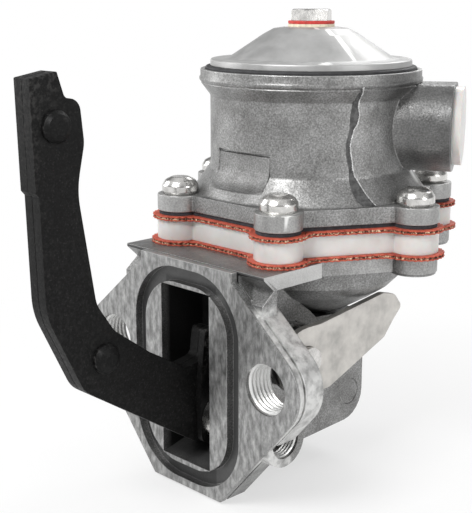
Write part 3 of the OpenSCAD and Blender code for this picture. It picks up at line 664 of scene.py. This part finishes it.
def sheet_of(levels, hole_r):
    """Closed flat part from outlines (points, z) of equal length, bottom to top, with a round hole."""
    count = len(levels[0][0])
    verts, faces = [], []
    inner = []
    for p in levels[0][0]:
        a = math.atan2(p.y, p.x)
        inner.append(Vector((hole_r * math.cos(a), hole_r * math.sin(a))))
    rings = [(inner, levels[0][1])] + list(levels) + [(inner, levels[-1][1])]
    for points, z in rings:
        verts += [(p.x, AXIS_Y + p.y, z) for p in points]
    n = len(rings)
    for r in range(n):
        for k in range(count):
            m = (k + 1) % count
            q = (r + 1) % n
            faces.append((r * count + k, r * count + m, q * count + m, q * count + k))
    return verts, faces


def zigzag(points, depth):
    """Pinked edge: every other point steps in."""
    pulled = inward(points, depth)
    return [q if i % 2 else p for i, (p, q) in enumerate(zip(points, pulled))]


def add_diaphragm(node, name):
    """Two red rubber faces with the pinked cloth core showing between them."""
    low, high = bottom_of(node), top_of(node)
    half = (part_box(node)[1][0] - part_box(node)[0][0]) / MM / 2
    lobe_r = half - SCREW_CIRCLE_R
    base = densify(lobed_outline(38.0 + lobe_r - 6.2, lobe_r), 0.85)
    if len(base) % 2:
        base = base[:-1]
    outer = zigzag(base, 0.55)
    skin = 0.34
    for part, z0, z1 in (("under", low, low + skin), ("over", high - skin, high)):
        shrink = inward(outer, 0.12)
        verts, faces = sheet_of([(shrink, z0), (outer, z0 + 0.1), (outer, z1 - 0.1), (shrink, z1)], 24.5)
        keep = [node] if part == "under" else ()
        add_piece(f"{name}_{part}", verts, faces, "pump_body", "coated_fabric", replaces=keep)
    core = inward(outer, 0.18)
    verts, faces = sheet_of([(core, low + skin - 0.02), (core, high - skin + 0.02)], 24.5)
    add_piece(f"{name}_core", verts, faces, "pump_body", "coated_fabric", material="fabric_edge")


# Screws


def add_screws():
    """Pan-head screws with a cross recess."""
    top = top_of("flange_screws")
    foot = bottom_of("flange_screws")
    seat = top - SCREW_HEAD_H
    profile = round_profile([(0, top, 0), (2.4, top, 0.9), (4.1, top - 0.8, 1.6), (4.95, top - 2.2, 1.2),
                             (4.95, seat + 0.7, 0.9), (4.6, seat, 0.3), (2.5, seat, 0.2), (2.5, foot + 0.4, 0.1),
                             (2.1, foot, 0.1), (0, foot, 0)])
    verts, faces = lathe(profile, 48, centre=(0, 0))
    first = None
    for k, angle in enumerate(SCREW_ANGLES):
        a = math.radians(angle)
        at = Vector((SCREW_CIRCLE_R * math.cos(a), AXIS_Y + SCREW_CIRCLE_R * math.sin(a), 0))
        turn = math.radians(17 + 41 * k)
        spun = []
        for v in verts:
            p = Matrix.Rotation(turn, 3, "Z") @ Vector(v) + at
            spun.append(tuple(p))
        piece = add_piece(f"flange_screw_{k}", spun, faces, "pump_body", "plated_steel",
                          replaces=["flange_screws"] if k == 0 else ())
        cut_cross(piece, at, top, turn)
        first = first or piece
    return first


def cut_cross(piece, at, top, turn):
    """Cuts a tapering cross recess into a screw's head."""
    verts, faces = [], []
    arms = [(2.55, 0.62), (0.62, 2.55)]
    depth = 2.0
    for half_x, half_y in arms:
        base = len(verts)
        for z, share in ((top + 0.5, 1.0), (top - depth, 0.55)):
            for sx, sy in ((-1, -1), (1, -1), (1, 1), (-1, 1)):
                p = Matrix.Rotation(turn, 3, "Z") @ Vector((sx * half_x * share, sy * half_y * share, 0))
                verts.append(((at.x + p.x) * MM, (at.y + p.y) * MM, z * MM))
        for ring in ((3, 2, 1, 0), (4, 5, 6, 7), (0, 1, 5, 4), (1, 2, 6, 5), (2, 3, 7, 6), (3, 0, 4, 7)):
            faces.append([base + i for i in ring])
    mesh = bpy.data.meshes.new("cross_cutter")
    mesh.from_pydata(verts, [], faces)
    cutter = bpy.data.objects.new("cross_cutter", mesh)
    bpy.context.scene.collection.objects.link(cutter)
    cut = piece.modifiers.new("cross", "BOOLEAN")
    cut.operation = "DIFFERENCE"
    cut.solver = "EXACT"
    cut.use_self = True
    cut.object = cutter
    bake_modifiers(piece)
    bpy.data.objects.remove(cutter)


def bake_modifiers(piece):
    """Applies a piece's modifiers to its mesh."""
    graph = bpy.context.evaluated_depsgraph_get()
    done = bpy.data.meshes.new_from_object(piece.evaluated_get(graph))
    piece.modifiers.clear()
    piece.data = done


# Threads


def helix_ridge(centre, axis, core_r, crest_r, start, length, pitch, steps=40):
    """Ridge of a thread that stands in from a hole's wall; axis is "X" or "Y"."""
    turns = length / pitch
    count = int(turns * steps)
    half = pitch * 0.45
    verts, faces = [], []
    for i in range(count + 1):
        a = 2 * math.pi * i / steps
        s = start + pitch * i / steps
        fade = min(1.0, i / (steps * 0.3), (count - i) / (steps * 0.3))
        tip = core_r - (core_r - crest_r) * fade
        for r, ds in ((core_r + 0.05, -half), (tip, -half * 0.25), (tip, half * 0.25), (core_r + 0.05, half)):
            u, v = r * math.cos(a), r * math.sin(a)
            if axis == "Y":
                verts.append((centre[0] + u, s + ds, centre[2] + v))
            else:
                verts.append((s + ds, centre[1] + u, centre[2] + v))
    for i in range(count):
        for k in range(4):
            n = (k + 1) % 4
            faces.append((4 * i + k, 4 * i + n, 4 * i + 4 + n, 4 * i + 4 + k))
    faces.append((0, 1, 2, 3))
    faces.append(tuple(4 * count + k for k in (3, 2, 1, 0)))
    return verts, faces


def add_threads():
    for side, x in zip(("left", "right"), FIX_HOLES_X):
        verts, faces = helix_ridge((x, 0, 0), "Y", FIX_HOLE_R, FIX_HOLE_R - 0.55, 0.9, 7.4, 1.25)
        add_piece(f"fixing_thread_{side}", verts, faces, "pump_body", "cast_alloy")
    verts, faces = helix_ridge((0, *PIVOT), "X", LUG_BORE_R, LUG_BORE_R - 0.4, 24.8, 4.2, 0.9, 28)
    add_piece("lug_thread", verts, faces, "pump_body", "cast_alloy")


# Parting line of the upper housing's casting: (angle at the crest, angle at the foot, height, wall radius)
PARTING = [
    (-23.0, -23.2, 70.4, 30.4), (-22.5, -23.9, 68.7, 29.4), (-22.8, -24.7, 66.8, 28.0),
    (-22.7, -25.6, 65.3, 27.5), (-21.8, -26.4, 63.2, 27.5), (-22.9, -26.5, 60.9, 27.5),
    (-24.8, -26.6, 59.6, 27.5), (-25.9, -27.6, 57.6, 27.5), (-26.8, -28.6, 55.6, 27.5),
    (-26.5, -28.5, 53.8, 27.5), (-25.5, -27.6, 51.5, 27.5), (-25.0, -26.4, 49.4, 27.5),
    (-23.7, -26.3, 47.5, 27.5), (-21.8, -26.7, 45.6, 28.6), (-20.3, -26.3, 43.5, 30.1),
    (-18.6, -25.2, 41.9, 31.3), (-17.0, -22.6, 40.5, 32.4),
]


def add_ribbon(name, rows, section, material):
    """Strip that follows rows of (crest, foot, height, radius); section gives (angle, lift) for a row."""
    verts, faces = [], []
    for crest, foot, z, r in rows:
        for angle, lift in section(crest, foot):
            a = math.radians(angle)
            verts.append(((r + lift) * math.cos(a), AXIS_Y + (r + lift) * math.sin(a), z))
    count = len(verts) // len(rows)
    for i in range(len(rows) - 1):
        for k in range(count):
            n = (k + 1) % count
            faces.append((count * i + k, count * i + n, count * (i + 1) + n, count * (i + 1) + k))
    faces.append(tuple(range(count)))
    faces.append(tuple(len(verts) - 1 - k for k in range(count)))
    add_piece(name, verts, faces, "pump_body", "cast_alloy", material=material, smooth=False)


def add_parting_line():
    """Ragged step left by the die halves: a sloping facet painted dark as shade up to a torn crest painted bright as
    a highlight.
    """
    rows = []
    fine = 12
    for (c0, f0, z0, r0), (c1, f1, z1, r1) in zip(PARTING, PARTING[1:]):
        for k in range(fine):
            t = k / fine
            count = len(rows)
            ragged = 0.22 * math.sin(2.3 * count) * math.sin(0.71 * count + 1.0)
            rows.append((c0 + (c1 - c0) * t + ragged, f0 + (f1 - f0) * t, z0 + (z1 - z0) * t, r0 + (r1 - r0) * t))
    add_ribbon("parting_facet", rows, lambda crest, foot: (
        (foot - 0.3, -0.3), (foot - 0.3, 0.05), (foot + 0.2, 0.05), (crest, 0.36), (crest + 0.2, -0.3)), "parting_shade_alloy")
    add_ribbon("parting_crest", rows, lambda crest, foot: (
        (crest - 0.1, -0.3), (crest - 0.1, 0.48), (crest + 0.5, 0.44), (crest + 0.9, -0.3)), "parting_highlight_alloy")


dress_nodes()
soften("lower_housing", 0.18, clamp=False, dissolve=False)
soften("upper_housing", 0.3, clamp=False)
for row in ("arm_plate_left", "arm_plate_right", "link", "primer_lever"):
    soften(row, 0.22)
soften("spacer_ring", 0.35)
soften("cover_bolt", 0.15)
add_cover()
add_round_washer("red_washer", "red_fibre")
add_round_washer("cream_washer", "cream_fibre")
add_cover_seal()
add_diaphragm("upper_diaphragm", "upper_fabric")
add_diaphragm("lower_diaphragm", "lower_fabric")
add_screws()
add_threads()
add_parting_line()

add_camera()
add_world()
add_floor()
add_lamp("key", (60, -420, 460), (260, 260), 3.2)
add_lamp("fill", (-420, -160, 220), (260, 360), 0.8)
add_lamp("side", (460, 60, 200), (160, 300), 0.6)
add_lamp("rim", (-60, 460, 380), (420, 160), 1.4)
bpy.context.scene.view_settings.view_transform = "Standard"
